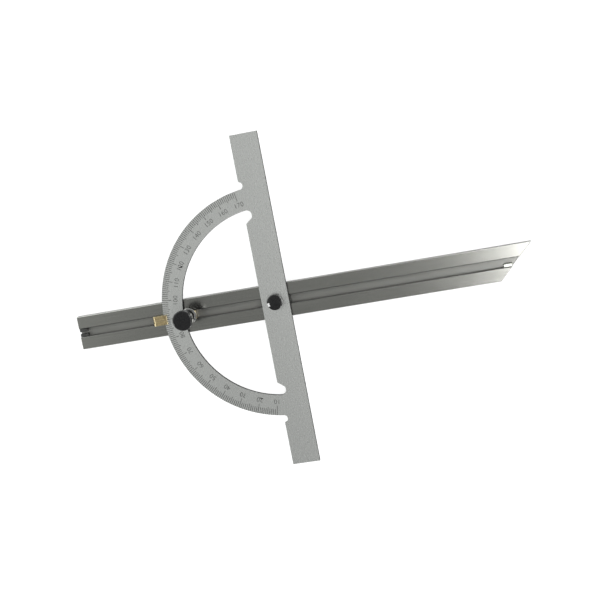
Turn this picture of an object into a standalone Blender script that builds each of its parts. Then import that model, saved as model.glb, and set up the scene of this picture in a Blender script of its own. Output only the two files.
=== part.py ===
"""Arc protractor with a sliding grooved rail, a drawing and marking-out instrument.

A flat steel plate, cut in one piece as a straight beam with a half-circle scale band, swivels on a carriage
that slides in the T-groove of a steel rail. The carriage holds a pivot nut under the beam's middle and a
brass index block that straddles the band. A black knob on each of its two studs clamps the plate.

Frame: metres, +Z up. The origin is on the rail's underside, on the pivot axis. +X runs along the rail to its
45 degree tip and +Y along the beam. The index block is on the -X side, where the scale reads 90 degrees.
"""

import math

import bmesh
import bpy

MM = 0.001

# Driving dimensions
ARC_RADIUS = 75 * MM
RAIL_LENGTH = 4 * ARC_RADIUS
RAIL_WIDTH = 22 * MM
RAIL_THICKNESS = 5 * MM
PLATE_THICKNESS = 2 * MM
BEAM_WIDTH = 18 * MM
BAND_WIDTH = 13.6 * MM
THREAD_DIAMETER = 3 * MM
GAP = 0.3 * MM  # between faces that rest or rub on each other
FIT = 0.15 * MM  # round pieces in their holes, on the radius

# Rail
SQUARE_END_X = -134.5 * MM
TIP_X = SQUARE_END_X + RAIL_LENGTH
RAIL_SIDE_Y = RAIL_WIDTH / 2
MOUTH_HALF = 2.8 * MM
UNDERCUT_HALF = 4.5 * MM
LIP_THICKNESS = 1.4 * MM
FLOOR_THICKNESS = 1.2 * MM
RAIL_EDGE_BREAK = 0.25 * MM

# Stop keys in the groove's ends
KEY_LENGTH = 5.4 * MM
KEY_WIDTH = 2 * MM
KEY_HEIGHT = 3.2 * MM
KEY_END_INSET = 0.3 * MM
TIP_KEY_X = 149.2 * MM

# Protractor plate
BEAM_TOP_Y = 1.456 * ARC_RADIUS
BEAM_BOTTOM_Y = -1.438 * ARC_RADIUS
BEAM_SIDE_X = BEAM_WIDTH / 2
BAND_INNER_RADIUS = ARC_RADIUS - BAND_WIDTH
PIVOT_HOLE_RADIUS = 3.35 * MM
SCREW_NOTCH = (-7.6 * MM, 57.5 * MM, 3.4 * MM)  # x, y and radius: clears the clamp collar at the scale's ends
SCREW_NOTCH_RAMP = -35  # degrees on that circle where a straight edge leaves it for the beam's side
SCREW_NOTCH_END_Y = 52.4 * MM
INDEX_NOTCH = (-9.1 * MM, 76.9 * MM, 2.5 * MM)  # the same for the index block

# Carriage
CLAMP_RADIUS = 58.2 * MM
FOOT_HALF = 4.2 * MM
FOOT_THICKNESS = 1.2 * MM
PIVOT_NUT_LENGTH = 19.2 * MM
BLOCK_INNER_X = -54 * MM
BLOCK_OUTER_X = -82 * MM
INDEX_WIDTH = 6.2 * MM
INDEX_LIP_X = -72.8 * MM
INDEX_LIP_THICKNESS = 1 * MM
COLLAR_RADIUS = 3 * MM
BUSH_RADIUS = PIVOT_HOLE_RADIUS - FIT
LEAF_LENGTH = 14 * MM
LEAF_WIDTH = 5 * MM
LEAF_THICKNESS = 0.2 * MM
LEAF_BOW = 0.45 * MM

# Knobs and washers
WASHER_THICKNESS = 0.8 * MM
CLAMP_WASHER_RADIUS = 5.2 * MM
PIVOT_WASHER_RADIUS = 4.4 * MM
WAVE_THICKNESS = 0.25 * MM
WAVE_HEIGHT = 0.12 * MM
WAVE_COUNT = 3
INSERT_RADIUS = 2.3 * MM
CLAMP_KNOB_RADIUS = 6.5 * MM
CLAMP_KNOB_HEIGHT = 16 * MM
CLAMP_HEAD_HEIGHT = 5 * MM
CLAMP_NECK_RADIUS = 3.7 * MM
CLAMP_INSERT_HEIGHT = 8 * MM
PIVOT_KNOB_RADIUS = 5 * MM
PIVOT_KNOB_HEIGHT = 1.8 * MM
PIVOT_INSERT_HEIGHT = 0.7 * MM

# Heights of the stack, from the rail's underside
FOOT_TOP = RAIL_THICKNESS - LIP_THICKNESS - GAP
FOOT_BOTTOM = FOOT_TOP - FOOT_THICKNESS
NECK_TOP = RAIL_THICKNESS - 0.1 * MM
PLATE_BOTTOM = RAIL_THICKNESS + GAP
PLATE_TOP = PLATE_BOTTOM + PLATE_THICKNESS
WASHER_BOTTOM = PLATE_TOP + GAP
WASHER_TOP = WASHER_BOTTOM + WASHER_THICKNESS
WAVE_MIDDLE = WASHER_TOP + GAP + WAVE_HEIGHT + WAVE_THICKNESS / 2
KNOB_BASE = WAVE_MIDDLE + WAVE_HEIGHT + WAVE_THICKNESS / 2 + GAP

STUD_RADIUS = THREAD_DIAMETER / 2
BORE_RADIUS = STUD_RADIUS + FIT
NECK_HALF = MOUTH_HALF - GAP
TURN_STEPS = 48


def clear_scene():
    for leftover in list(bpy.data.objects):
        bpy.data.objects.remove(leftover, do_unlink=True)


def new_collection(name):
    made = bpy.data.collections.new(name)
    bpy.context.scene.collection.children.link(made)
    return made


def new_material(name, colour, metallic, roughness):
    made = bpy.data.materials.new(name)
    made.use_nodes = True
    shader = made.node_tree.nodes["Principled BSDF"]
    shader.inputs["Base Color"].default_value = (*colour, 1)
    shader.inputs["Metallic"].default_value = metallic
    shader.inputs["Roughness"].default_value = roughness
    made.diffuse_color = (*colour, 1)
    return made


clear_scene()
PARTS = new_collection("arc_protractor")
CUTTERS = new_collection("cutters")
SATIN_STEEL = new_material("satin_steel", (0.42, 0.43, 0.42), 0.6, 0.45)
GROUND_STEEL = new_material("ground_steel", (0.3, 0.3, 0.29), 0.9, 0.35)
BLACKENED_STEEL = new_material("blackened_steel", (0.04, 0.04, 0.04), 0.7, 0.5)
SPRING_STEEL = new_material("spring_steel", (0.35, 0.36, 0.38), 1, 0.25)
BRASS = new_material("brass", (0.62, 0.47, 0.22), 1, 0.3)
BLACK_PLASTIC = new_material("black_plastic", (0.012, 0.012, 0.012), 0, 0.15)


def new_axis(name, parent=None, x=0.0):
    """An empty on a joint's axis, which carries the pieces of one moving group."""
    axis = bpy.data.objects.new(name, None)
    axis.empty_display_size = 10 * MM
    axis.location = (x, 0, 0)
    axis.parent = parent
    PARTS.objects.link(axis)
    return axis


def place(name, mesh, material, parent, collection=PARTS):
    made = bpy.data.objects.new(name, mesh)
    made.parent = parent
    if material:
        mesh.materials.append(material)
    collection.objects.link(made)
    return made


def as_cutter(cutter):
    cutter.hide_render = True
    cutter.display_type = "WIRE"


def boolean(target, other, operation, solver="EXACT"):
    modifier = target.modifiers.new(other.name, "BOOLEAN")
    modifier.operation = operation
    modifier.object = other
    modifier.solver = solver
    as_cutter(other)


def bevel(target, width):
    modifier = target.modifiers.new("broken_edges", "BEVEL")
    modifier.width = width
    modifier.segments = 1
    modifier.limit_method = "ANGLE"
    modifier.angle_limit = math.radians(50)


def smooth_round(target, sharp_degrees=35):
    target.data.shade_smooth()
    target.data.set_sharp_from_angle(angle=math.radians(sharp_degrees))


def arc(centre, radius, start, end, steps):
    """Points on a circle from one angle to another, in degrees."""
    angles = [math.radians(start + (end - start) * i / steps) for i in range(steps + 1)]
    return [(centre[0] + radius * math.cos(a), centre[1] + radius * math.sin(a)) for a in angles]


def extruded(name, outlines, low, high, material, parent, plane="XY", collection=PARTS):
    """A flat outline, with any holes, made solid from low to high along the plane's normal."""
    curve = bpy.data.curves.new(name, "CURVE")
    curve.dimensions = "2D"
    curve.fill_mode = "BOTH"
    curve.extrude = (high - low) / 2
    for outline in outlines:
        spline = curve.splines.new("POLY")
        spline.points.add(len(outline) - 1)
        spline.use_cyclic_u = True
        for point, (u, v) in zip(spline.points, outline):
            point.co = (u, v, 0, 1)
    drawn = bpy.data.objects.new(name + "_outline", curve)
    bpy.context.scene.collection.objects.link(drawn)
    bpy.context.view_layer.update()
    graph = bpy.context.evaluated_depsgraph_get()
    mesh = bpy.data.meshes.new_from_object(drawn.evaluated_get(graph))
    bpy.data.objects.remove(drawn, do_unlink=True)
    mesh.name = name
    middle = (low + high) / 2
    for vertex in mesh.vertices:
        u, v, w = vertex.co
        w += middle
        vertex.co = {"XY": (u, v, w), "YZ": (w, u, v), "XZ": (u, -w, v)}[plane]
    weld(mesh)
    return place(name, mesh, material, parent, collection)


def weld(mesh):
    shape = bmesh.new()
    shape.from_mesh(mesh)
    bmesh.ops.remove_doubles(shape, verts=shape.verts, dist=1e-6)
    bmesh.ops.recalc_face_normals(shape, faces=shape.faces)
    shape.to_mesh(mesh)
    shape.free()


def turned(name, profile, material, parent, steps=TURN_STEPS, closed=False, collection=PARTS):
    """A profile of (radius, height) points, down its outer side, turned about the parent's Z axis."""
    shape = bmesh.new()
    points = [shape.verts.new((radius, 0, height)) for radius, height in profile]
    pairs = list(zip(points, points[1:])) + ([(points[-1], points[0])] if closed else [])
    for pair in pairs:
        shape.edges.new(pair)
    mesh = bpy.data.meshes.new(name)
    shape.to_mesh(mesh)
    shape.free()
    made = place(name, mesh, material, parent, collection)
    screw = made.modifiers.new("turn", "SCREW")
    screw.angle = 2 * math.pi
    screw.steps = screw.render_steps = steps
    screw.use_merge_vertices = True
    screw.merge_threshold = 1e-6
    screw.use_smooth_shade = True
    return made


def tube_profile(inner, outer, low, high, edge=0.0):
    """A ring's section, down its outer side, with its outer edges broken by edge."""
    if not edge:
        return [(outer, high), (outer, low), (inner, low), (inner, high)]
    return [
        (outer - edge, high), (outer, high - edge), (outer, low + edge), (outer - edge, low),
        (inner, low), (inner, high),
    ]


def drill(target, name, parent, radius, low, high):
    profile = [(0, high), (radius, high), (radius, low), (0, low)]
    hole = turned(name, profile, None, parent, collection=CUTTERS)
    boolean(target, hole, "DIFFERENCE")


def box_outline(x0, y0, x1, y1):
    return [(x0, y0), (x1, y0), (x1, y1), (x0, y1)]


# ---- Rail and its stop keys ----


def rail_section():
    """The rail's section in Y and Z: a flat bar with a T-groove open at the top."""
    lip = RAIL_THICKNESS - LIP_THICKNESS
    right = [
        (RAIL_SIDE_Y, 0), (RAIL_SIDE_Y, RAIL_THICKNESS), (MOUTH_HALF, RAIL_THICKNESS),
        (MOUTH_HALF, lip), (UNDERCUT_HALF, lip), (UNDERCUT_HALF, FLOOR_THICKNESS),
    ]
    return right + [(-y, z) for y, z in reversed(right)]


def build_rail(frame):
    rail = extruded("rail", [rail_section()], SQUARE_END_X, TIP_X, GROUND_STEEL, frame, plane="YZ")
    reach = 2 * RAIL_WIDTH
    beyond_tip = [
        (TIP_X + reach, RAIL_SIDE_Y + reach), (TIP_X - RAIL_WIDTH - reach, -RAIL_SIDE_Y - reach),
        (TIP_X + reach, -RAIL_SIDE_Y - reach),
    ]
    mitre = extruded(
        "tip_mitre", [beyond_tip], -RAIL_THICKNESS, 2 * RAIL_THICKNESS, None, frame, collection=CUTTERS
    )
    boolean(rail, mitre, "DIFFERENCE")
    bevel(rail, RAIL_EDGE_BREAK)


def build_stop_key(name, frame, centre_x, side, material):
    """A pressed-in block beside one wall of the groove, which ends the carriage's travel."""
    wall = side * (MOUTH_HALF - FIT)
    free = side * (MOUTH_HALF - FIT - KEY_WIDTH)
    half = KEY_LENGTH / 2
    outline = box_outline(centre_x - half, min(wall, free), centre_x + half, max(wall, free))
    low = FLOOR_THICKNESS + GAP
    key = extruded(name, [outline], low, low + KEY_HEIGHT, material, frame)
    bevel(key, RAIL_EDGE_BREAK)


# ---- Protractor plate ----


def circles_meet(radius, notch):
    """Where the circle about the pivot meets a notch's circle, on the side away from the beam."""
    x, y, notch_radius = notch
    distance = math.hypot(x, y)
    along = (radius**2 - notch_radius**2 + distance**2) / (2 * distance)
    across = math.sqrt(max(radius**2 - along**2, 0))
    return (along * x - across * y) / distance, (along * y + across * x) / distance


def angle_of(point, centre=(0, 0)):
    return math.degrees(math.atan2(point[1] - centre[1], point[0] - centre[0]))


def mirrored(points):
    return [(x, -y) for x, y in reversed(points)]


def plate_outline():
    """The beam's ends and right side, then its left side with the index notches and the band's rim."""
    x, y, radius = INDEX_NOTCH
    on_side = (-BEAM_SIDE_X, y + math.sqrt(radius**2 - (BEAM_SIDE_X + x) ** 2))
    on_band = circles_meet(ARC_RADIUS, INDEX_NOTCH)
    notch = arc((x, y), radius, angle_of(on_side, (x, y)), angle_of(on_band, (x, y)), 16)
    band_start = angle_of(on_band)
    band = arc((0, 0), ARC_RADIUS, band_start, 360 - band_start, 96)
    upper = [(BEAM_SIDE_X, BEAM_TOP_Y), (-BEAM_SIDE_X, BEAM_TOP_Y), *notch]
    lower = [*mirrored(notch), (-BEAM_SIDE_X, BEAM_BOTTOM_Y), (BEAM_SIDE_X, BEAM_BOTTOM_Y)]
    return upper + band[1:-1] + lower


def opening_outline():
    """The D-shaped opening between the beam and the band, with a relief for the clamp collar at each end."""
    x, y, radius = SCREW_NOTCH
    tangent = angle_of((x, y))
    notch = [(-BEAM_SIDE_X, SCREW_NOTCH_END_Y), *arc((x, y), radius, SCREW_NOTCH_RAMP, tangent, 20)]
    band = arc((0, 0), BAND_INNER_RADIUS, tangent, 360 - tangent, 80)
    return notch + band[1:-1] + mirrored(notch)


def build_plate(swivel):
    pivot_hole = arc((0, 0), PIVOT_HOLE_RADIUS, 0, 360, TURN_STEPS)[:-1]
    outlines = [plate_outline(), opening_outline(), pivot_hole]
    plate = extruded("protractor_plate", outlines, PLATE_BOTTOM, PLATE_TOP, SATIN_STEEL, swivel)
    smooth_round(plate)


# ---- Carriage: pivot nut and index block with their studs and springs ----


def t_bar(name, x0, x1, material, carriage):
    """A bar that fills the T-groove's section with running clearance, up to just under the rail's top."""
    right = [(FOOT_HALF, FOOT_BOTTOM), (FOOT_HALF, FOOT_TOP), (NECK_HALF, FOOT_TOP), (NECK_HALF, NECK_TOP)]
    section = right + [(-y, z) for y, z in reversed(right)]
    return extruded(name, [section], x0, x1, material, carriage, plane="YZ")


def build_pivot_nut(carriage, pivot_axis):
    half = PIVOT_NUT_LENGTH / 2
    nut = t_bar("pivot_nut", -half, half, GROUND_STEEL, carriage)
    drill(nut, "pivot_nut_bore", pivot_axis, BORE_RADIUS, 0, 2 * RAIL_THICKNESS)


def build_index_block(carriage, clamp_axis):
    block = t_bar("index_block", BLOCK_OUTER_X + GAP, BLOCK_INNER_X, BRASS, carriage)
    post_x = -ARC_RADIUS - GAP
    riser_outline = box_outline(BLOCK_OUTER_X + 2 * GAP, FOOT_TOP, post_x - GAP, PLATE_BOTTOM + GAP)
    riser_half = NECK_HALF - 0.1 * MM
    riser = extruded(
        "index_riser", [riser_outline], -riser_half, riser_half, None, carriage, "XZ", CUTTERS
    )
    lip_low = PLATE_TOP + GAP
    lip_high = lip_low + INDEX_LIP_THICKNESS
    head_outline = [
        (BLOCK_OUTER_X, PLATE_BOTTOM), (post_x, PLATE_BOTTOM), (post_x, lip_low),
        (INDEX_LIP_X, lip_low), (INDEX_LIP_X, lip_high), (BLOCK_OUTER_X + 1 * MM, lip_high),
        (BLOCK_OUTER_X, lip_high - 1 * MM),
    ]
    half = INDEX_WIDTH / 2
    head = extruded("index_head", [head_outline], -half, half, None, carriage, "XZ", CUTTERS)
    boolean(block, riser, "UNION", solver="MANIFOLD")
    boolean(block, head, "UNION", solver="MANIFOLD")
    drill(block, "index_block_bore", clamp_axis, BORE_RADIUS, 0, 2 * RAIL_THICKNESS)


def build_leaf_spring(name, carriage, centre_x):
    """A bowed strip under a foot, which takes up the play and holds the carriage by friction."""
    shape = bmesh.new()
    bmesh.ops.create_grid(shape, x_segments=12, y_segments=1, size=0.5)
    low = FLOOR_THICKNESS + 0.1 * MM
    for vertex in shape.verts:
        share = vertex.co.x * 2
        vertex.co = (
            centre_x + share * LEAF_LENGTH / 2, vertex.co.y * LEAF_WIDTH, low + LEAF_BOW * share**2
        )
    mesh = bpy.data.meshes.new(name)
    shape.to_mesh(mesh)
    shape.free()
    leaf = place(name, mesh, SPRING_STEEL, carriage)
    solidify = leaf.modifiers.new("thickness", "SOLIDIFY")
    solidify.thickness = LEAF_THICKNESS
    solidify.offset = 1


def build_stud(name, axis, top):
    chamfer = 0.3 * MM
    profile = [
        (0, top), (STUD_RADIUS - chamfer, top), (STUD_RADIUS, top - chamfer),
        (STUD_RADIUS, FOOT_BOTTOM + GAP), (0, FOOT_BOTTOM + GAP),
    ]
    turned(name, profile, GROUND_STEEL, axis, steps=32)


def build_sleeve(name, axis, radius, material):
    """A plain sleeve on a stud, as thick as the plate that turns round it or slides past it."""
    low = RAIL_THICKNESS + 0.2 * MM
    turned(name, tube_profile(BORE_RADIUS, radius, low, PLATE_TOP - 0.2 * MM), material, axis, closed=True)


# ---- Washers and knobs ----


def build_washer(name, axis, radius):
    section = tube_profile(BORE_RADIUS + GAP, radius, WASHER_BOTTOM, WASHER_TOP, edge=0.15 * MM)
    turned(name, section, SPRING_STEEL, axis, closed=True)


def build_wave_washer(name, axis, outer):
    shape = bmesh.new()
    for radius in (BORE_RADIUS + GAP, outer):
        bmesh.ops.create_circle(shape, segments=TURN_STEPS, radius=radius)
    bmesh.ops.bridge_loops(shape, edges=shape.edges)
    for vertex in shape.verts:
        turn = math.atan2(vertex.co.y, vertex.co.x)
        vertex.co.z = WAVE_MIDDLE + WAVE_HEIGHT * math.cos(WAVE_COUNT * turn)
    bmesh.ops.recalc_face_normals(shape, faces=shape.faces)
    mesh = bpy.data.meshes.new(name)
    shape.to_mesh(mesh)
    shape.free()
    washer = place(name, mesh, SPRING_STEEL, axis)
    solidify = washer.modifiers.new("thickness", "SOLIDIFY")
    solidify.thickness = WAVE_THICKNESS
    solidify.offset = 0


def build_insert(name, axis, height):
    low = KNOB_BASE + 0.1 * MM
    section = tube_profile(BORE_RADIUS, INSERT_RADIUS, low, low + height, edge=0.2 * MM)
    turned(name, section, BRASS, axis, closed=True)


def knob_cavity(insert_height):
    """The blind hole for the insert, from its crown on the axis down to the knob's base."""
    crown = KNOB_BASE + insert_height + GAP
    return [(INSERT_RADIUS + FIT, KNOB_BASE), (INSERT_RADIUS + FIT, crown), (0, crown)]


def fillet(centre_radius, centre_height, radius, start, end, steps=6):
    return arc((centre_radius, centre_height), radius, start, end, steps)


def build_clamp_knob(axis):
    """A tall knob: a round-edged head on a waisted neck."""
    top = KNOB_BASE + CLAMP_KNOB_HEIGHT
    head_bottom = top - CLAMP_HEAD_HEIGHT
    crown = 1.5 * MM
    under = 0.8 * MM
    throat = 1.6 * MM
    foot_radius = CLAMP_NECK_RADIUS + 0.6 * MM
    profile = [(0, top)]
    profile += fillet(CLAMP_KNOB_RADIUS - crown, top - crown, crown, 90, 0)
    profile += fillet(CLAMP_KNOB_RADIUS - under, head_bottom + under, under, 0, -90, 4)
    profile += fillet(CLAMP_NECK_RADIUS + throat, head_bottom - throat, throat, 90, 180)
    profile += [(CLAMP_NECK_RADIUS, KNOB_BASE + 2 * MM), (foot_radius, KNOB_BASE + 1 * MM)]
    profile += [(foot_radius, KNOB_BASE)]
    profile += knob_cavity(CLAMP_INSERT_HEIGHT)
    turned("clamp_knob", profile, BLACK_PLASTIC, axis)


def build_pivot_knob(axis):
    """A low knob with a gently domed crown."""
    top = KNOB_BASE + PIVOT_KNOB_HEIGHT
    crown = 0.6 * MM
    dome = 0.3 * MM
    under = 0.3 * MM
    rim = PIVOT_KNOB_RADIUS - crown
    profile = [(rim * share, top - dome * share**2) for share in (0, 0.25, 0.5, 0.75)]
    profile += fillet(rim, top - dome - crown, crown, 90, 0)
    profile += fillet(PIVOT_KNOB_RADIUS - under, KNOB_BASE + under, under, 0, -90, 3)
    profile += knob_cavity(PIVOT_INSERT_HEIGHT)
    turned("pivot_knob", profile, BLACK_PLASTIC, axis)


def main():
    rail_frame = new_axis("rail_frame")
    carriage = new_axis("rail_slide_axis", rail_frame)
    swivel = new_axis("arc_swivel_axis", carriage)
    pivot_axis = new_axis("pivot_knob_axis", carriage)
    clamp_axis = new_axis("clamp_knob_axis", carriage, -CLAMP_RADIUS)

    build_rail(rail_frame)
    end_key_x = SQUARE_END_X + KEY_END_INSET + KEY_LENGTH / 2
    build_stop_key("end_stop_key_upper", rail_frame, end_key_x, 1, BLACKENED_STEEL)
    build_stop_key("end_stop_key_lower", rail_frame, end_key_x, -1, BLACKENED_STEEL)
    build_stop_key("tip_stop_key", rail_frame, TIP_KEY_X, -1, GROUND_STEEL)

    build_plate(swivel)

    build_pivot_nut(carriage, pivot_axis)
    build_index_block(carriage, clamp_axis)
    build_leaf_spring("pivot_nut_spring", carriage, 0)
    build_leaf_spring("index_block_spring", carriage, (BLOCK_OUTER_X + BLOCK_INNER_X) / 2)
    build_stud("pivot_stud", pivot_axis, KNOB_BASE + PIVOT_INSERT_HEIGHT)
    build_stud("clamp_stud", clamp_axis, KNOB_BASE + CLAMP_INSERT_HEIGHT - 1 * MM)
    build_sleeve("pivot_bush", pivot_axis, BUSH_RADIUS, BRASS)
    build_sleeve("clamp_collar", clamp_axis, COLLAR_RADIUS, GROUND_STEEL)

    build_washer("pivot_washer", pivot_axis, PIVOT_WASHER_RADIUS)
    build_wave_washer("pivot_wave_washer", pivot_axis, PIVOT_WASHER_RADIUS - GAP)
    build_insert("pivot_knob_insert", pivot_axis, PIVOT_INSERT_HEIGHT)
    build_pivot_knob(pivot_axis)
    build_washer("clamp_washer", clamp_axis, CLAMP_WASHER_RADIUS)
    build_wave_washer("clamp_wave_washer", clamp_axis, CLAMP_WASHER_RADIUS - 1 * MM)
    build_insert("clamp_knob_insert", clamp_axis, CLAMP_INSERT_HEIGHT)
    build_clamp_knob(clamp_axis)


main()
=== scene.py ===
"""Looks of the arc protractor: finer meshes, engraved scale, procedural finishes, light and camera."""

import math

import bmesh
import bpy
from mathutils import Matrix, Vector


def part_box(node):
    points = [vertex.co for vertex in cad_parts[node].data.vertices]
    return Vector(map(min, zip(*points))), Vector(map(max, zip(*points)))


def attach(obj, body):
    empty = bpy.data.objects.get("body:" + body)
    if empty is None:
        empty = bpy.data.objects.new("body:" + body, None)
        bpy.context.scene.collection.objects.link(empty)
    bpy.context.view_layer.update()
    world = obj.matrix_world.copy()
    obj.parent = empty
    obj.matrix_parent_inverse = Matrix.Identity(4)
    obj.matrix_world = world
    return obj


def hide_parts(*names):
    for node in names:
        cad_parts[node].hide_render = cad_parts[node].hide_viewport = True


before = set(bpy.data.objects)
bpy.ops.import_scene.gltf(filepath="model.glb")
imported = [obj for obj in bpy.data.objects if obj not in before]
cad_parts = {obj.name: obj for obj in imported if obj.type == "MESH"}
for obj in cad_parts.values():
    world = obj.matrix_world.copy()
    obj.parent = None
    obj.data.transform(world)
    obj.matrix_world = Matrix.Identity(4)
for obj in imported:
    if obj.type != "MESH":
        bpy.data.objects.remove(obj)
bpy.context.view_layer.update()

MM = 0.001

# Camera: what it looks at, how far away it is, how far it leans from straight above and towards which side,
# and how far the beam's axis is turned in the picture
LOOK_AT = Vector((16.0, -1.5, 7.3)) * MM
CAMERA_DISTANCE = 831.2 * MM
CAMERA_LEAN = math.radians(13.263)
CAMERA_SIDE = math.radians(36.673)
CAMERA_TURN = math.radians(-10.855)
CAMERA_LENS = 78.0
CAMERA_SENSOR = 36.0
CAMERA_NEAREST = 10 * MM

# Tent of light: how bright it is at two places, and where those two are along an axis.
# It dims from its sides to its top and from back to front, and is brightest at its left end.
TENT_COLOUR = (0.98, 1, 0.985, 1)
TENT_ALONG_Z = (1.15, 0.47, 0.4, 0.95)
TENT_ALONG_Y = (0.52, 1.08, -0.3, 0.1)
TENT_ALONG_X = (3.6, 1, -0.5, -0.335)

# Area lights: place, target, size and power
LIGHTS = {
    "overhead_right": ((0.385, -0.2, 1.3), (0.385, -0.2, 0), (0.46, 0.8), 9),
    "low_left": ((-1.2, -0.4, 0.32), (0, 0, 0), (0.3, 0.2), 6),
    "low_right": ((0.45, -0.85, 0.45), (0, 0, 0), (0.16, 0.16), 5),
    "low_back": ((0.75, 0.45, 0.95), (0, 0, 0), (0.16, 0.16), 5),
}

FLOOR_GLOW = 0.67
FLOOR_SIDE = 60
FLOOR_HEIGHT = -0.05 * MM

# Scale on the band, engraved and filled with black paint
BAND_RADIUS = 75 * MM
FIRST_DEGREE = 10
LAST_DEGREE = 170
ENGRAVED_DEPTH = 0.12 * MM
TICK_WIDTH = 0.34 * MM
TICK_OVERRUN = 0.15 * MM
TICK_LENGTHS = {10: 6.4 * MM, 5: 5.1 * MM, 1: 4.1 * MM}
FIGURE_STEP = 10
FIGURE_HEIGHT = 3.1 * MM
FIGURE_RADIUS = 65.8 * MM
FIGURE_THINNING = -0.015
FONT_SIZE_SHARE = 0.7  # a figure's height as a share of its font size

# Index line on the brass block, which runs out past the block's edge
INDEX_LINE_LENGTH = 12.5 * MM
INDEX_LINE_OVERRUN = 2.5 * MM
INDEX_LINE_WIDTH = 0.2 * MM

# Edges: widths, and the angle over which an edge is rounded
FINE_EDGE = 0.1 * MM
PLATE_EDGE = 0.12 * MM
BLOCK_EDGE = 0.3 * MM
EDGE_SEGMENTS = 2
EDGE_ANGLE = math.radians(32)

# Meshes: distances within which vertices are merged, and the angle within which faces are one
WELD = 0.001 * MM
FINE_WELD = 0.0001 * MM
ONE_PLANE = math.radians(0.5)

# Faces, by how far their normals point up: level ones are shaded flat, upright ones are walls
LEVEL = 0.9999
UPRIGHT = 0.3

# Places of the finishes in a piece's list of materials
EDGE_FINISH = 1
WALL_FINISH = 2

# Rail: how far the groove's mouth reaches to each side, how high its floor can lie,
# and how far up the normals of its broken edges point at most and those of its floor at least
MOUTH_EDGE_LIMIT = 3.3 * MM
GROOVE_FLOOR_LIMIT = 2 * MM
MOUTH_EDGE_TILT = 0.98
GROOVE_FLOOR_TILT = 0.5

# Both knobs, from the hole for the insert outwards
KNOB_STEPS = 128
KNOB_SHARP_ANGLE = 40
CAVITY_RADIUS = 2.45 * MM

# Clamp knob: flat head, throat, beaded neck and foot, at heights above the knob's base
CLAMP_CAVITY = 8.3 * MM
CLAMP_HEAD_HEIGHT = 5 * MM
CLAMP_TOP_RING = 0.4
CLAMP_CROWN = 0.9 * MM
CLAMP_UNDER_FILLET = 0.5 * MM
CLAMP_THROAT_RADIUS = 1.6 * MM
CLAMP_NECK_RADIUS = 3.7 * MM
CLAMP_BEAD_HEIGHTS = (3.2 * MM, 5.2 * MM, 7.2 * MM)
CLAMP_BEAD_RADIUS = 0.45 * MM
CLAMP_FLARE_TOP = 2 * MM
CLAMP_FLARE_FOOT = 1 * MM
CLAMP_FOOT_RADIUS = CLAMP_NECK_RADIUS + 0.6 * MM
CLAMP_FOOT_TOP = 0.8 * MM
CLAMP_FOOT_CHAMFER = 0.1 * MM

# Pivot knob: a low dome, with one facet cut into its rim
PIVOT_CAVITY = 1 * MM
PIVOT_DOME = 0.3 * MM
PIVOT_DOME_STEPS = 12
PIVOT_CROWN = 0.5 * MM
PIVOT_UNDER_FILLET = 0.3 * MM
FACET_ANGLE = math.radians(193)
FACET_LEAN = math.radians(32)
FACET_INSET = 1.7 * MM
FACET_DROP = 0.3 * MM
FACET_LENGTH = 3 * MM
FACET_WIDTH = 2.4 * MM
FACET_DEPTH = 3 * MM


# ---------------------------------------------------------------- materials


def new_material(name, metallic=0.0, **constants):
    """A material whose shader sockets that stay the same all over are set on the shader itself."""
    made = bpy.data.materials.new(name)
    made.use_nodes = True
    shader = made.node_tree.nodes["Principled BSDF"]
    shader.inputs["Metallic"].default_value = metallic
    for socket, value in constants.items():
        shader.inputs[socket.replace("_", " ")].default_value = value
    return made, made.node_tree, shader


def noise(tree, scale, stretch=(1, 1, 1), detail=3.0, roughness=0.55):
    """Noise in metres of the object's own frame: features are about 1 / scale long, divided by stretch."""
    place = tree.nodes.new("ShaderNodeTexCoord")
    mapping = tree.nodes.new("ShaderNodeMapping")
    mapping.inputs["Scale"].default_value = stretch
    tree.links.new(place.outputs["Object"], mapping.inputs["Vector"])
    texture = tree.nodes.new("ShaderNodeTexNoise")
    texture.inputs["Scale"].default_value = scale
    texture.inputs["Detail"].default_value = detail
    texture.inputs["Roughness"].default_value = roughness
    tree.links.new(mapping.outputs["Vector"], texture.inputs["Vector"])
    return texture.outputs["Fac"]


def spread(tree, value, low, high, start=0.3, end=0.7):
    """A value's range from start to end, by default the usual one of noise, spread over low to high."""
    made = tree.nodes.new("ShaderNodeMapRange")
    made.inputs["From Min"].default_value = start
    made.inputs["From Max"].default_value = end
    made.inputs["To Min"].default_value = low
    made.inputs["To Max"].default_value = high
    tree.links.new(value, made.inputs["Value"])
    return made.outputs["Result"]


def mixed(tree, share, first, second):
    """A colour between first and second, each a colour or another node's output."""
    made = tree.nodes.new("ShaderNodeMix")
    made.data_type = "RGBA"
    tree.links.new(share, made.inputs[0])
    for socket, colour in ((made.inputs[6], first), (made.inputs[7], second)):
        if isinstance(colour, tuple):
            socket.default_value = (*colour, 1)
        else:
            tree.links.new(colour, socket)
    return made.outputs[2]


def times(tree, first, second):
    product = tree.nodes.new("ShaderNodeMath")
    product.operation = "MULTIPLY"
    tree.links.new(first, product.inputs[0])
    tree.links.new(second, product.inputs[1])
    return product.outputs["Value"]


def bumped(tree, shader, heights):
    """Stacks bumps, each (height output, depth in metres), into the shader's normal."""
    normal = None
    for height, depth in heights:
        made = tree.nodes.new("ShaderNodeBump")
        made.inputs["Strength"].default_value = 1
        made.inputs["Distance"].default_value = depth
        tree.links.new(height, made.inputs["Height"])
        if normal:
            tree.links.new(normal, made.inputs["Normal"])
        normal = made.outputs["Normal"]
    tree.links.new(normal, shader.inputs["Normal"])


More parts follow.
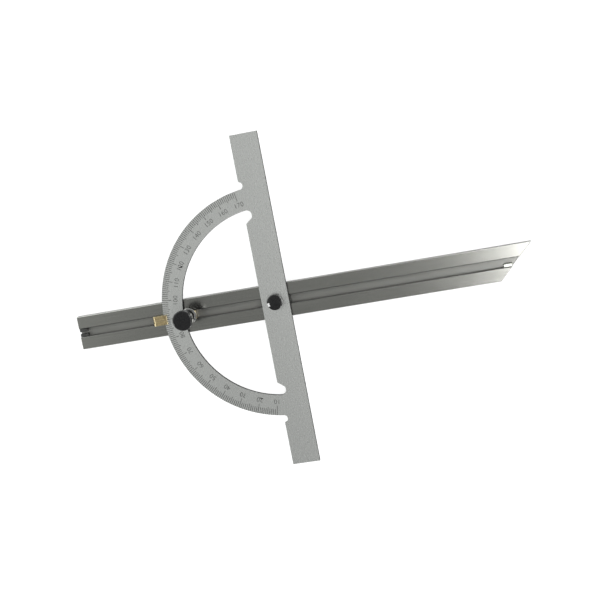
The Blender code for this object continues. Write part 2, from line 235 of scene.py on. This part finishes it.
def metal(name, dark, light, rough, grain, clouds, depth, stretch=(1, 1, 1), metallic=1.0, specular=0.5):
    """A worked metal, its colour between dark and light and its roughness between rough's two values.

    Grain and clouds are the scales of a fine and a slow noise, and depth is how deep the grain's bump is.
    """
    made, tree, shader = new_material(name, metallic, Specular_IOR_Level=specular)
    fine = noise(tree, grain, stretch, detail=4)
    slow = noise(tree, clouds, detail=2)
    tint = mixed(tree, spread(tree, fine, 0.25, 0.75), dark, light)
    shade = mixed(tree, spread(tree, slow, 0, 0.5), tint, dark)
    tree.links.new(shade, shader.inputs["Base Color"])
    tree.links.new(spread(tree, fine, *rough), shader.inputs["Roughness"])
    bumped(tree, shader, [(fine, depth)])
    return made


def make_plate_metals():
    """The plate's satin face, brushed along the beam, and painted shade for its cut walls and edges:
    near-black, not metallic.
    """
    brushed = (1, 0.1, 1)
    return {
        "plate": metal(
            "satin_plate", (0.555, 0.561, 0.548), (0.572, 0.578, 0.565), (0.27, 0.28), 3000, 22, 2e-7,
            brushed,
        ),
        # painted shade: the cut walls and broken edges are coloured near-black and not metallic, so they
        # show as dark lines
        "plate_painted_shade": metal(
            "plate_painted_shade", (0.02, 0.02, 0.02), (0.05, 0.05, 0.048), (0.7, 0.85), 900, 60, 8e-6,
            metallic=0, specular=0.05,
        ),
    }


def make_rail_metals():
    """The rail's faces and edges, and painted shade for its walls, its groove's mouth and its groove's
    floor, all with a grain along its length.
    """
    ground = (0.012, 1, 1)
    return {
        "rail": metal(
            "ground_rail", (0.275, 0.275, 0.257), (0.365, 0.365, 0.343), (0.17, 0.2), 2600, 18, 2.5e-6,
            ground,
        ),
        "rail_edge": metal(
            "rail_edge", (0.2, 0.2, 0.19), (0.4, 0.4, 0.39), (0.2, 0.35), 2600, 60, 3e-6, ground
        ),
        # painted shade: the upright walls and the lower broken edge of the groove's mouth are coloured
        # about a third as bright as the top
        "painted_wall_shade": metal(
            "painted_wall_shade", (0.07, 0.07, 0.067), (0.14, 0.14, 0.135), (0.3, 0.45), 2600, 60, 5e-6, ground
        ),
        # painted shade: near-black for the upper broken edge of the groove's mouth, and for the pivot nut's
        # edges and walls
        "painted_edge_shade": metal(
            "painted_edge_shade", (0.008, 0.008, 0.008), (0.03, 0.03, 0.03), (0.5, 0.7), 2600, 60, 5e-6, ground
        ),
        # painted shade: the groove's floor is coloured darker than the top and only half metallic
        "rail_floor": metal(
            "rail_floor", (0.165, 0.165, 0.155), (0.225, 0.225, 0.21), (0.2, 0.24), 2600, 40, 3e-6, ground,
            metallic=0.5,
        ),
    }


def make_small_metals():
    """The keys, springs, washers and studs, and the brass pieces."""
    return {
        "black": metal(
            "black_oxide", (0.03, 0.03, 0.03), (0.09, 0.09, 0.086), (0.4, 0.6), 1200, 90, 8e-6
        ),
        "spring": metal(
            "spring_steel", (0.3, 0.3, 0.295), (0.46, 0.46, 0.45), (0.25, 0.4), 900, 120, 2e-6
        ),
        "bright": metal(
            "bright_steel", (0.42, 0.43, 0.39), (0.6, 0.61, 0.56), (0.3, 0.45), 1400, 160, 4e-6
        ),
        "dull_edge": metal(
            "dull_edge", (0.3, 0.32, 0.27), (0.5, 0.52, 0.46), (0.4, 0.6), 1400, 160, 4e-6
        ),
        "brass": metal(
            "brass", (0.12, 0.09, 0.045), (0.5, 0.41, 0.235), (0.28, 0.5), 1300, 520, 1e-5
        ),
        "brass_edge": metal(
            "brass_edge", (0.5, 0.42, 0.24), (0.72, 0.63, 0.42), (0.2, 0.32), 1300, 110, 3e-6
        ),
    }


def make_plastic(name, specular, rough):
    """Black plastic with a faint moulded ripple, fine rubbing marks and a little grey dust."""
    made, tree, shader = new_material(name, Specular_IOR_Level=specular)
    ripple = noise(tree, 260, detail=1)
    rubbed = noise(tree, 1600, stretch=(1, 1, 0.2), detail=5)
    dust = noise(tree, 5200, detail=2)
    worn = mixed(tree, spread(tree, rubbed, 0, 1), (0.003, 0.003, 0.0035), (0.011, 0.011, 0.011))
    colour = mixed(tree, spread(tree, dust, 0, 0.06, 0.6, 0.8), worn, (0.2, 0.2, 0.19))
    tree.links.new(colour, shader.inputs["Base Color"])
    tree.links.new(spread(tree, rubbed, *rough), shader.inputs["Roughness"])
    bumped(tree, shader, [(ripple, 1.5e-5), (rubbed, 1e-6)])
    return made


def make_ink():
    """Black paint wiped into the engraved marks, thinner in places."""
    made, tree, shader = new_material("scale_paint")
    patches = noise(tree, 700, detail=4)
    colour = mixed(tree, spread(tree, patches, 0, 1), (0.01, 0.01, 0.01), (0.04, 0.04, 0.038))
    tree.links.new(colour, shader.inputs["Base Color"])
    tree.links.new(spread(tree, patches, 0.5, 0.8), shader.inputs["Roughness"])
    bumped(tree, shader, [(patches, 1e-5)])
    return made


def make_floor_paper():
    """A pale matt sheet with a little glow of its own, so that it stays white beside the object."""
    made, tree, shader = new_material(
        "pale_floor", Specular_IOR_Level=0, Emission_Color=(1, 1, 1, 1), Emission_Strength=FLOOR_GLOW
    )
    paper = noise(tree, 900)
    colour = mixed(tree, spread(tree, paper, 0, 1), (0.34, 0.34, 0.34), (0.36, 0.36, 0.36))
    tree.links.new(colour, shader.inputs["Base Color"])
    tree.links.new(spread(tree, paper, 0.8, 0.95), shader.inputs["Roughness"])
    return made


def make_materials():
    """Every finish of the object, by a short name."""
    return {
        **make_plate_metals(),
        **make_rail_metals(),
        **make_small_metals(),
        "plastic": make_plastic("black_plastic", 0.25, (0.1, 0.2)),
        "dull_plastic": make_plastic("dull_plastic", 0.04, (0.3, 0.4)),
        "ink": make_ink(),
    }


# ---------------------------------------------------------------- mesh tools


def new_object(name, mesh, *materials):
    made = bpy.data.objects.new(name, mesh)
    bpy.context.scene.collection.objects.link(made)
    for material in materials:
        mesh.materials.append(material)
    return made


def mesh_of(work, name):
    mesh = bpy.data.meshes.new(name)
    work.to_mesh(mesh)
    work.free()
    return mesh


def apply_modifiers(obj):
    graph = bpy.context.evaluated_depsgraph_get()
    applied = bpy.data.meshes.new_from_object(obj.evaluated_get(graph))
    obj.modifiers.clear()
    obj.data = applied


def copied(node_name, name, *materials):
    """A CAD node's shape as a new mesh with its flat faces whole again, ready for finer edges."""
    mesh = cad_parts[node_name].data.copy()
    mesh.materials.clear()
    made = new_object(name, mesh, *materials)
    work = bmesh.new()
    work.from_mesh(mesh)
    bmesh.ops.remove_doubles(work, verts=work.verts, dist=WELD)
    bmesh.ops.dissolve_limit(work, angle_limit=ONE_PLANE, verts=work.verts, edges=work.edges)
    for face in work.faces:
        face.material_index = 0
    work.to_mesh(mesh)
    work.free()
    return made


def revolved(name, profile, node_name, *materials):
    """A profile of (radius, height above the CAD node's base), turned about that node's axis."""
    low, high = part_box(node_name)
    middle = (low + high) / 2
    work = bmesh.new()
    points = [work.verts.new((radius, 0, height)) for radius, height in profile]
    lines = [work.edges.new(pair) for pair in zip(points, points[1:])]
    bmesh.ops.spin(
        work, geom=points + lines, cent=(0, 0, 0), axis=(0, 0, 1), angle=2 * math.pi, steps=KNOB_STEPS
    )
    bmesh.ops.remove_doubles(work, verts=work.verts, dist=FINE_WELD)
    bmesh.ops.recalc_face_normals(work, faces=work.faces)
    bmesh.ops.translate(work, verts=work.verts, vec=(middle.x, middle.y, low.z))
    return new_object(name, mesh_of(work, name), *materials)


def arc(centre, radius, start, end, steps=8):
    """Points of (radius, height) on a circle from one angle to another, in degrees."""
    angles = [math.radians(start + (end - start) * i / steps) for i in range(steps + 1)]
    return [(centre[0] + radius * math.cos(a), centre[1] + radius * math.sin(a)) for a in angles]


def rounded_edges(obj, width):
    """Rounds a piece's edges. The new faces take its edge finish."""
    modifier = obj.modifiers.new("edges", "BEVEL")
    modifier.width = width
    modifier.segments = EDGE_SEGMENTS
    modifier.limit_method = "ANGLE"
    modifier.angle_limit = EDGE_ANGLE
    modifier.material = EDGE_FINISH
    apply_modifiers(obj)


def paint_walls(obj, finish):
    """Gives the upright faces of a flat piece a material of their own."""
    for face in obj.data.polygons:
        if abs(face.normal.z) < UPRIGHT:
            face.material_index = finish


def finished(obj, node_name, body, sharp=15):
    """Shades a piece, sharp where faces meet at over that many degrees, and puts it in its node's place."""
    obj.data.shade_smooth()
    obj.data.set_sharp_from_angle(angle=math.radians(sharp))
    for face in obj.data.polygons:
        face.use_smooth = abs(face.normal.z) < LEVEL
    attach(obj, body)
    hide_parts(node_name)


def engrave(obj, cutter):
    """Cuts the marks out of a piece. The cut faces keep the cutter's material."""
    modifier = obj.modifiers.new("marks", "BOOLEAN")
    modifier.object = cutter
    modifier.operation = "DIFFERENCE"
    modifier.solver = "MANIFOLD"
    modifier.material_mode = "TRANSFER"
    apply_modifiers(obj)
    bpy.data.objects.remove(cutter, do_unlink=True)


def add_block(work, length, width, depth, place):
    """Adds a block, centred on the place that it is given, to a mesh of cutters."""
    made = bmesh.ops.create_cube(work, size=1)
    shape = Matrix.Diagonal((length, width, depth, 1))
    bmesh.ops.transform(work, matrix=place @ shape, verts=made["verts"])


# ---------------------------------------------------------------- scale


def radial(degree):
    """From the plate's scale angle to its direction: 0 is down the beam and 90 points at the index."""
    return Matrix.Rotation(-math.radians(degree) - math.pi / 2, 4, "Z")


def tick_length(degree):
    return next(length for step, length in TICK_LENGTHS.items() if degree % step == 0)


def add_ticks(work, top):
    for degree in range(FIRST_DEGREE, LAST_DEGREE + 1):
        length = tick_length(degree) + TICK_OVERRUN
        middle = Vector((BAND_RADIUS + TICK_OVERRUN - length / 2, 0, top))
        place = radial(degree) @ Matrix.Translation(middle)
        add_block(work, length, TICK_WIDTH, 2 * ENGRAVED_DEPTH, place)


def figure_mesh(text):
    """Extruded figures, centred on their own origin, with their feet towards -Y."""
    curve = bpy.data.curves.new("figures", "FONT")
    curve.body = text
    curve.size = FIGURE_HEIGHT / FONT_SIZE_SHARE
    curve.align_x = "CENTER"
    curve.align_y = "CENTER"
    curve.offset = FIGURE_THINNING * FIGURE_HEIGHT
    curve.extrude = ENGRAVED_DEPTH
    curve.resolution_u = 3
    holder = bpy.data.objects.new("figures", curve)
    bpy.context.scene.collection.objects.link(holder)
    graph = bpy.context.evaluated_depsgraph_get()
    mesh = bpy.data.meshes.new_from_object(holder.evaluated_get(graph))
    bpy.data.objects.remove(holder, do_unlink=True)
    return mesh


def add_figures(work, top):
    """Adds the figures, with their feet towards the middle of the arc."""
    for degree in range(FIRST_DEGREE, LAST_DEGREE + 1, FIGURE_STEP):
        mesh = figure_mesh(str(degree))
        out = Matrix.Translation(Vector((FIGURE_RADIUS, 0, top)))
        mesh.transform(radial(degree) @ out @ Matrix.Rotation(-math.pi / 2, 4, "Z"))
        work.from_mesh(mesh)
        bpy.data.meshes.remove(mesh)
    bmesh.ops.remove_doubles(work, verts=work.verts, dist=FINE_WELD)
    bmesh.ops.recalc_face_normals(work, faces=work.faces)


def build_plate(materials):
    """The beam and band in one, its walls and edges painted near-black as painted shade, and the scale
    engraved in its top.
    """
    plate = copied("protractor_plate", "plate_engraved", materials["plate"], materials["plate_painted_shade"])
    # the rounded edges and the upright walls both take the near-black painted shade
    rounded_edges(plate, PLATE_EDGE)
    paint_walls(plate, EDGE_FINISH)
    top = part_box("protractor_plate")[1].z
    work = bmesh.new()
    add_ticks(work, top)
    add_figures(work, top)
    engrave(plate, new_object("marks", mesh_of(work, "marks"), materials["ink"]))
    finished(plate, "protractor_plate", "protractor")


# ---------------------------------------------------------------- other pieces


def build_rail(materials):
    """The grooved rail, with painted shade: its walls and the broken edges of the groove's mouth dark, and
    its floor darker than its top.
    """
    names = ["rail", "rail_edge", "painted_wall_shade", "painted_edge_shade", "rail_floor"]
    rail = copied("rail", "rail_ground", *[materials[name] for name in names])
    rounded_edges(rail, FINE_EDGE)
    paint_walls(rail, WALL_FINISH)
    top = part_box("rail")[1].z
    for face in rail.data.polygons:
        if abs(face.center.y) >= MOUTH_EDGE_LIMIT:
            continue
        # painted shade on the mouth's broken edges: near-black on the upper side, the darker wall colour on
        # the lower side
        if face.normal.z < MOUTH_EDGE_TILT and face.center.z > top / 2:
            face.material_index = names.index("painted_edge_shade") if face.center.y > 0 else WALL_FINISH
        # painted shade on the groove's floor
        if face.normal.z > GROOVE_FLOOR_TILT and face.center.z < GROOVE_FLOOR_LIMIT:
            face.material_index = names.index("rail_floor")
    finished(rail, "rail", "rail")


def build_machined(materials):
    """The machined pieces with finely broken edges, each with finishes for its faces, edges and walls."""
    pieces = {
        # the pivot nut's edges and walls get the near-black painted shade, which outlines its end in the
        # groove
        "pivot_nut": ("pivot_nut_machined", "carriage", ["rail", "painted_edge_shade", "painted_edge_shade"]),
        "tip_stop_key": ("tip_key_ground", "rail", ["bright", "dull_edge", "dull_edge"]),
    }
    for node_name, (name, body, finishes) in pieces.items():
        piece = copied(node_name, name, *[materials[finish] for finish in finishes])
        rounded_edges(piece, FINE_EDGE)
        paint_walls(piece, WALL_FINISH)
        finished(piece, node_name, body)


def build_index_block(materials):
    """The brass block, its outer edges rounded, with the line that the scale is read against."""
    block = copied("index_block", "index_block_brass", materials["brass"], materials["brass_edge"])
    rounded_edges(block, BLOCK_EDGE)
    low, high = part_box("index_block")
    middle = Vector((low.x + (INDEX_LINE_LENGTH - INDEX_LINE_OVERRUN) / 2, 0, high.z))
    length = INDEX_LINE_LENGTH + INDEX_LINE_OVERRUN
    work = bmesh.new()
    add_block(work, length, INDEX_LINE_WIDTH, 2 * ENGRAVED_DEPTH, Matrix.Translation(middle))
    engrave(block, new_object("index_line", mesh_of(work, "index_line"), materials["ink"]))
    finished(block, "index_block", "carriage")


def cavity(depth):
    """The blind hole for a knob's insert, from its rim at the base up to its end on the axis."""
    return [(CAVITY_RADIUS, 0), (CAVITY_RADIUS, depth), (0, depth)]


def knob_size(node_name):
    low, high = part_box(node_name)
    return (high.x - low.x) / 2, high.z - low.z


def clamp_profile(radius, height):
    """From the middle of the clamp knob's top, over its head and down its beaded neck, to its cavity."""
    under = height - CLAMP_HEAD_HEIGHT
    profile = [(0, height), (radius * CLAMP_TOP_RING, height)]
    profile += arc((radius - CLAMP_CROWN, height - CLAMP_CROWN), CLAMP_CROWN, 90, 0, 16)
    profile += arc((radius - CLAMP_UNDER_FILLET, under + CLAMP_UNDER_FILLET), CLAMP_UNDER_FILLET, 0, -90)
    throat = (CLAMP_NECK_RADIUS + CLAMP_THROAT_RADIUS, under - CLAMP_THROAT_RADIUS)
    profile += arc(throat, CLAMP_THROAT_RADIUS, 90, 180)
    for bead in reversed(CLAMP_BEAD_HEIGHTS):
        profile += arc((CLAMP_NECK_RADIUS, bead), CLAMP_BEAD_RADIUS, 90, -90)
    profile += [
        (CLAMP_NECK_RADIUS, CLAMP_FLARE_TOP),
        (CLAMP_FOOT_RADIUS - CLAMP_FOOT_CHAMFER, CLAMP_FLARE_FOOT),
        (CLAMP_FOOT_RADIUS, CLAMP_FOOT_TOP),
        (CLAMP_FOOT_RADIUS, CLAMP_FOOT_CHAMFER),
        (CLAMP_FOOT_RADIUS - CLAMP_FOOT_CHAMFER, 0),
    ]
    return profile + cavity(CLAMP_CAVITY)


def build_clamp_knob(materials):
    """A tall knob, glossy on its head and dull on its neck."""
    radius, height = knob_size("clamp_knob")
    profile = clamp_profile(radius, height)
    finishes = [materials["plastic"], materials["dull_plastic"]]
    knob = revolved("clamp_knob_moulded", profile, "clamp_knob", *finishes)
    neck_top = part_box("clamp_knob")[0].z + height - CLAMP_HEAD_HEIGHT
    for face in knob.data.polygons:
        face.material_index = int(face.center.z < neck_top)
    finished(knob, "clamp_knob", "clamp_knob", KNOB_SHARP_ANGLE)


def pivot_profile(radius, height):
    """From the top of the pivot knob's dome, over its rim, to its cavity."""
    rim = radius - PIVOT_CROWN
    shares = [i / PIVOT_DOME_STEPS for i in range(PIVOT_DOME_STEPS)]
    profile = [(rim * share, height - PIVOT_DOME * share**2) for share in shares]
    profile += arc((rim, height - PIVOT_DOME - PIVOT_CROWN), PIVOT_CROWN, 90, 0)
    profile += arc((radius - PIVOT_UNDER_FILLET, PIVOT_UNDER_FILLET), PIVOT_UNDER_FILLET, 0, -90)
    return profile + cavity(PIVOT_CAVITY)


def build_pivot_knob(materials):
    """A low domed knob with one facet cut into its rim."""
    radius, height = knob_size("pivot_knob")
    knob = revolved("pivot_knob_moulded", pivot_profile(radius, height), "pivot_knob", materials["plastic"])
    turn = Matrix.Rotation(FACET_ANGLE, 4, "Z")
    start = Matrix.Translation((radius - FACET_INSET, 0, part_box("pivot_knob")[1].z - FACET_DROP))
    lean = Matrix.Rotation(FACET_LEAN, 4, "Y")
    out = Matrix.Translation((FACET_LENGTH / 2, 0, FACET_DEPTH / 2))
    work = bmesh.new()
    add_block(work, FACET_LENGTH, FACET_WIDTH, FACET_DEPTH, turn @ start @ lean @ out)
    engrave(knob, new_object("facet", mesh_of(work, "facet"), materials["plastic"]))
    finished(knob, "pivot_knob", "pivot_knob", KNOB_SHARP_ANGLE)


def dress_nodes(materials):
    """The CAD nodes that stay as they are get their finish."""
    finishes = {
        "black": ["end_stop_key_upper", "end_stop_key_lower"],
        "spring": [
            "pivot_nut_spring",
            "index_block_spring",
            "pivot_washer",
            "clamp_washer",
            "pivot_wave_washer",
            "clamp_wave_washer",
            "pivot_stud",
            "clamp_stud",
        ],
        "brass": ["pivot_bush", "clamp_collar", "pivot_knob_insert", "clamp_knob_insert"],
    }
    for finish, names in finishes.items():
        for name in names:
            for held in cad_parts[name].material_slots:
                held.material = materials[finish]


# ---------------------------------------------------------------- studio


def add_floor():
    bpy.ops.mesh.primitive_plane_add(size=FLOOR_SIDE, location=(0, 0, FLOOR_HEIGHT))
    floor = bpy.context.object
    floor.name = "floor"
    floor.data.materials.append(make_floor_paper())


def add_tent():
    """The world as a tent of light, its brightness the product of three slopes."""
    world = bpy.data.worlds.new("studio")
    bpy.context.scene.world = world
    world.use_nodes = True
    tree = world.node_tree
    background = tree.nodes["Background"]
    background.inputs["Color"].default_value = TENT_COLOUR
    where = tree.nodes.new("ShaderNodeTexCoord")
    split = tree.nodes.new("ShaderNodeSeparateXYZ")
    tree.links.new(where.outputs["Generated"], split.inputs["Vector"])
    height = spread(tree, split.outputs["Z"], *TENT_ALONG_Z)
    along = spread(tree, split.outputs["Y"], *TENT_ALONG_Y)
    across = spread(tree, split.outputs["X"], *TENT_ALONG_X)
    strength = times(tree, times(tree, height, along), across)
    tree.links.new(strength, background.inputs["Strength"])


def add_light(name, place, target, size, power):
    data = bpy.data.lights.new(name, "AREA")
    data.shape = "RECTANGLE"
    data.size, data.size_y = size
    data.energy = power
    light = bpy.data.objects.new(name, data)
    light.location = place
    light.rotation_euler = (Vector(target) - Vector(place)).to_track_quat("-Z", "Y").to_euler()
    bpy.context.scene.collection.objects.link(light)


def add_studio():
    add_tent()
    for name, settings in LIGHTS.items():
        add_light(name, *settings)
    bpy.context.scene.view_settings.view_transform = "Standard"


def add_camera():
    back = Vector((
        math.sin(CAMERA_LEAN) * math.cos(CAMERA_SIDE),
        math.sin(CAMERA_LEAN) * math.sin(CAMERA_SIDE),
        math.cos(CAMERA_LEAN),
    ))
    beam = Vector((0, 1, 0))
    up = (beam - beam.dot(back) * back).normalized()
    up.rotate(Matrix.Rotation(CAMERA_TURN, 3, back))
    right = up.cross(back)
    place = LOOK_AT + back * CAMERA_DISTANCE
    data = bpy.data.cameras.new("camera")
    data.lens = CAMERA_LENS
    data.sensor_width = CAMERA_SENSOR
    data.clip_start = CAMERA_NEAREST
    camera = bpy.data.objects.new("camera", data)
    camera.matrix_world = Matrix.Translation(place) @ Matrix((right, up, back)).transposed().to_4x4()
    bpy.context.scene.collection.objects.link(camera)
    bpy.context.scene.camera = camera


materials = make_materials()
build_plate(materials)
build_rail(materials)
build_machined(materials)
build_index_block(materials)
build_clamp_knob(materials)
build_pivot_knob(materials)
dress_nodes(materials)
add_floor()
add_studio()
add_camera()
